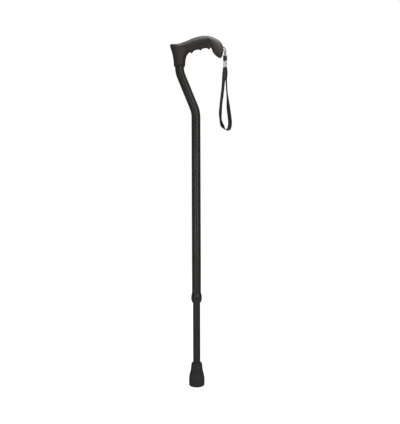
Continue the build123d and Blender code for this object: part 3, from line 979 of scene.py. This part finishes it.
# %% One stitch
STITCH_LENGTH = 1.5
STITCH_R = 0.22
STITCH_END = 0.3                  # the share of its length past which it dives
STITCH_DIVE = 0.7                 # how far, as a share of its radius
bpy.ops.object.select_all(action="DESELECT")
bpy.ops.mesh.primitive_uv_sphere_add(segments=8, ring_count=6, radius=MM)
one_stitch = bpy.context.object
bpy.ops.object.mode_set(mode="EDIT")
bpy.ops.transform.resize(value=(STITCH_LENGTH / 2, STITCH_R, STITCH_R),
                         center_override=(0, 0, 0))
pick(lambda p: abs(p.co.x) > STITCH_LENGTH * STITCH_END * MM)
bpy.ops.transform.translate(value=(0, STITCH_R * STITCH_DIVE * MM, 0))
bpy.ops.object.mode_set(mode="OBJECT")
print(f"one stitch: {size_of(one_stitch)} mm")

# %% [markdown]
# The stitch is copied to every place, each copy with a mesh of its own, and the copies are
# joined into one piece. On the back a stitch is turned round, so that its ends dive in too.

# %% Tab stitches
copies = []
for face_y, about in ((-FOLD_R - TAB_LAYER / 2, 0), (FOLD_R + TAB_LAYER / 2, math.pi)):
    for across, up, turn in lay_out:
        stitch = one_stitch.copy()
        stitch.data = one_stitch.data.copy()
        spot = Vector((STRAP_X + across, face_y, up)) * MM
        turned = Matrix.Rotation(turn, 4, "Y") @ Matrix.Rotation(about, 4, "Z")
        stitch.data.transform(Matrix.Translation(spot) @ turned)
        bpy.context.scene.collection.objects.link(stitch)
        copies.append(stitch)
bpy.data.objects.remove(one_stitch)
bpy.ops.object.select_all(action="DESELECT")
for stitch in copies:
    stitch.select_set(True)
bpy.context.view_layer.objects.active = copies[0]
bpy.ops.object.join()
bpy.ops.object.shade_smooth()
tab_stitches = bpy.context.object
tab_stitches.name = "tab_stitches"
place(tab_stitches, thread, "webbing_black", "wrist_strap")

# %% [markdown]
# The crimp is thin sheet steel with a coat of bright nickel. The coat is smooth, but the
# press that squeezed it left fine scuffs, so its mirror is broken up and looks pale grey.

# %% Crimp metal
plated_steel, tree, shader = new_finish("nickel_plated_steel")
place_in = add_node(tree, "ShaderNodeTexCoord")
scuffs = add_node(tree, "ShaderNodeTexNoise", Scale=per_mm(2.5), Detail=5.0, Roughness=0.7,
                  links=[("Vector", place_in.outputs["Object"])])
gloss = add_node(tree, "ShaderNodeMapRange", From_Min=0.3, From_Max=0.7, To_Min=0.3, To_Max=0.5,
                 links=[("Value", scuffs.outputs["Fac"])])
bump = add_node(tree, "ShaderNodeBump", Strength=0.3, Distance=0.1 * MM,
                links=[("Height", scuffs.outputs["Fac"])])
add_node(tree, shader, Base_Color=hex_colour("#d2d0cc"), Metallic=0.75,
         links=[("Roughness", gloss.outputs["Result"]), ("Normal", bump.outputs["Normal"])])
print(plated_steel.name, len(tree.nodes), "nodes")

# %% [markdown]
# The crimp is a strip of that sheet, bent round the tape's two ends and squeezed flat. A
# block with no top and bottom, whose upright edges are bevelled, has the strip's bends.

# %% Crimp sleeve
CRIMP_WIDTH = 10.2
CRIMP_DEPTH = 4.4
CRIMP_HEIGHT = 15.0
CRIMP_MIDDLE_Z = 794.0
CRIMP_WALL = 0.5
CRIMP_CORNER = 1.7
DIMPLE = 0.4
SEAM_GAP = 0.3
bpy.ops.object.select_all(action="DESELECT")
bpy.ops.mesh.primitive_cube_add(size=1)
bpy.context.object.name = "crimp_sleeve"
bpy.ops.object.mode_set(mode="EDIT")
crimp_size = Vector((CRIMP_WIDTH, CRIMP_DEPTH, CRIMP_HEIGHT)) * MM
bpy.ops.transform.resize(value=crimp_size, center_override=(0, 0, 0))
cage = bmesh.from_edit_mesh(bpy.context.edit_object.data)
for face in cage.faces:
    face.select = abs(face.normal.z) > 0.9
bmesh.update_edit_mesh(bpy.context.edit_object.data)
bpy.ops.mesh.delete(type="ONLY_FACE")
cage = bmesh.from_edit_mesh(bpy.context.edit_object.data)
for edge in cage.edges:
    edge.select = abs(edge.verts[0].co.z - edge.verts[1].co.z) > MM
bmesh.update_edit_mesh(bpy.context.edit_object.data)
bpy.ops.mesh.bevel(offset=CRIMP_CORNER * MM, segments=4, affect="EDGES")
print("bent corners:", CRIMP_CORNER, "mm")

# %% [markdown]
# The press tool left dimples in the front, and the strip's two edges meet behind in a seam.
# Bisects put points where the dimples and the seam go. Then the dimples' points are pushed
# in, the seam's faces are deleted, and the sheet gets its thickness.

# %% Dimples and seam
heights = (-6.2, -4.6, -3.0, -1.2, 1.2, 3.0, 4.6, 6.2)
widths = (-2.6, -1.3, -SEAM_GAP / 2, SEAM_GAP / 2, 1.3, 2.6)
for z in heights:
    bpy.ops.mesh.select_all(action="SELECT")
    bpy.ops.mesh.bisect(plane_co=(0, 0, z * MM), plane_no=(0, 0, 1))
for x in widths:
    bpy.ops.mesh.select_all(action="SELECT")
    bpy.ops.mesh.bisect(plane_co=(x * MM, 0, 0), plane_no=(1, 0, 0))


def in_dimple(point):
    """Whether a point is in one of the front's dimples: a small one between two wide ones."""
    x, y, z = point.co / MM
    in_wide = abs(x) < 2.7 and 2.9 < abs(z) < 4.7
    in_small = abs(x) < 1.4 and abs(z) < 1.3
    return y < -CRIMP_DEPTH / 2 + 0.1 and (in_wide or in_small)


pick(in_dimple)
bpy.ops.transform.translate(value=(0, DIMPLE * MM, 0))
cage = bmesh.from_edit_mesh(bpy.context.edit_object.data)
for face in cage.faces:
    middle_of = face.calc_center_median()
    face.select = middle_of.y > 0 and abs(middle_of.x) < SEAM_GAP / 2 * MM
bmesh.update_edit_mesh(bpy.context.edit_object.data)
bpy.ops.mesh.delete(type="FACE")
bpy.ops.mesh.select_all(action="SELECT")
bpy.ops.mesh.normals_make_consistent(inside=False)
bpy.ops.transform.translate(value=(STRAP_X * MM, 0, CRIMP_MIDDLE_Z * MM))
bpy.ops.object.mode_set(mode="OBJECT")
crimp_sleeve = bpy.context.object
modify("SOLIDIFY", thickness=CRIMP_WALL * MM, offset=-1)
modify("BEVEL", width=0.12 * MM, segments=2,
       limit_method="ANGLE", angle_limit=math.radians(60))
modify("SUBSURF", levels=2, render_levels=2)
bpy.ops.object.shade_smooth()
place(crimp_sleeve, plated_steel, "crimp_silver", "wrist_strap", "strap_crimp")

# %% [markdown]
# The small parts keep their measured shapes and need only simple finishes: one colour,
# whose gloss and bumps vary with a fine grain. They differ in colour, gloss, grain and
# metal, so one function makes them all.

# %% Small finish helper
def plain_finish(name, colour_hex, roughness, grain_mm, **settings):
    """A one-colour finish whose gloss varies with a fine grain."""
    finish, tree, shader = new_finish(name)
    place_in = add_node(tree, "ShaderNodeTexCoord")
    grain = add_node(tree, "ShaderNodeTexNoise", Scale=per_mm(grain_mm), Detail=4.0,
                     links=[("Vector", place_in.outputs["Object"])])
    gloss = add_node(tree, "ShaderNodeMapRange", From_Min=0.3, From_Max=0.7,
                     To_Min=roughness - 0.08, To_Max=roughness + 0.08,
                     links=[("Value", grain.outputs["Fac"])])
    bump = add_node(tree, "ShaderNodeBump", Strength=0.25, Distance=0.04 * MM,
                    links=[("Height", grain.outputs["Fac"])])
    add_node(tree, shader, Base_Color=hex_colour(colour_hex), **settings,
             links=[("Roughness", gloss.outputs["Result"]),
                    ("Normal", bump.outputs["Normal"])])
    return finish


print("small finish helper: plain_finish")

# %% [markdown]
# Each small part gets the finish of what it is made of: zinc-plated steel for the screw,
# the pin and the washer, which looks pale grey and slightly dull, bright nickel for the
# button, blued spring steel, natural white nylon for the guide that slides in the tube,
# grey glass-filled nylon for the handle's frame, and a soft rubber ring in the collar. The
# two tubes and the plug take the powder coat and the moulded nylon made above.

# %% Small finishes
zinc = plain_finish("zinc_plated_steel", "#b9bcc0", 0.35, 1.5, Metallic=1.0)
spring_steel = plain_finish("blued_spring_steel", "#5d6066", 0.32, 2.0, Metallic=1.0)
button_nickel = plain_finish("polished_nickel", "#c9c6be", 0.2, 1.2, Metallic=1.0)
white_nylon = plain_finish("natural_white_nylon", "#dcd8cc", 0.45, 1.2, IOR=1.53)
core_plastic = plain_finish("glass_filled_grey_nylon", "#4a4a4a", 0.5, 0.8, IOR=1.53)
ring_rubber = plain_finish("soft_black_rubber", "#2a2928", 0.7, 0.8, IOR=1.52)
kept_parts = {
    "handle_core": core_plastic, "handle_screw": zinc, "strap_pin": zinc,
    "upper_tube": powder_coat, "tube_plug": black_nylon, "squeeze_ring": ring_rubber,
    "lower_tube": powder_coat, "guide_bushing": white_nylon, "snap_button": button_nickel,
    "tip_washer": zinc,
}
for name, finish in kept_parts.items():
    materials = nodes[name].data.materials
    materials.clear()
    materials.append(finish)
print("finished parts:", ", ".join(kept_parts))

# %% [markdown]
# The spring behind the button is one strip of blued steel, folded into a V. Its measured
# shape is right, and it has to give way when the button is pressed. A copy of it, with its
# own mesh, stands in.

# %% Button spring
bpy.ops.object.select_all(action="DESELECT")
spring_strip = bpy.data.objects.new("spring_strip", nodes["button_spring"].data.copy())
bpy.context.scene.collection.objects.link(spring_strip)
spring_strip.select_set(True)
bpy.context.view_layer.objects.active = spring_strip
bpy.ops.object.mode_set(mode="EDIT")
bpy.ops.mesh.select_all(action="SELECT")
bpy.ops.mesh.remove_doubles(threshold=0.001 * MM)
bpy.ops.object.mode_set(mode="OBJECT")
bpy.ops.object.shade_smooth_by_angle(angle=math.radians(30))
place(spring_strip, spring_steel, "spring_steel", "lower_leg", "button_spring")
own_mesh(spring_strip)

# %% [markdown]
# The strap and the tether hang freely.

# %% Cords
print("hang freely: wrist_loop, tether")
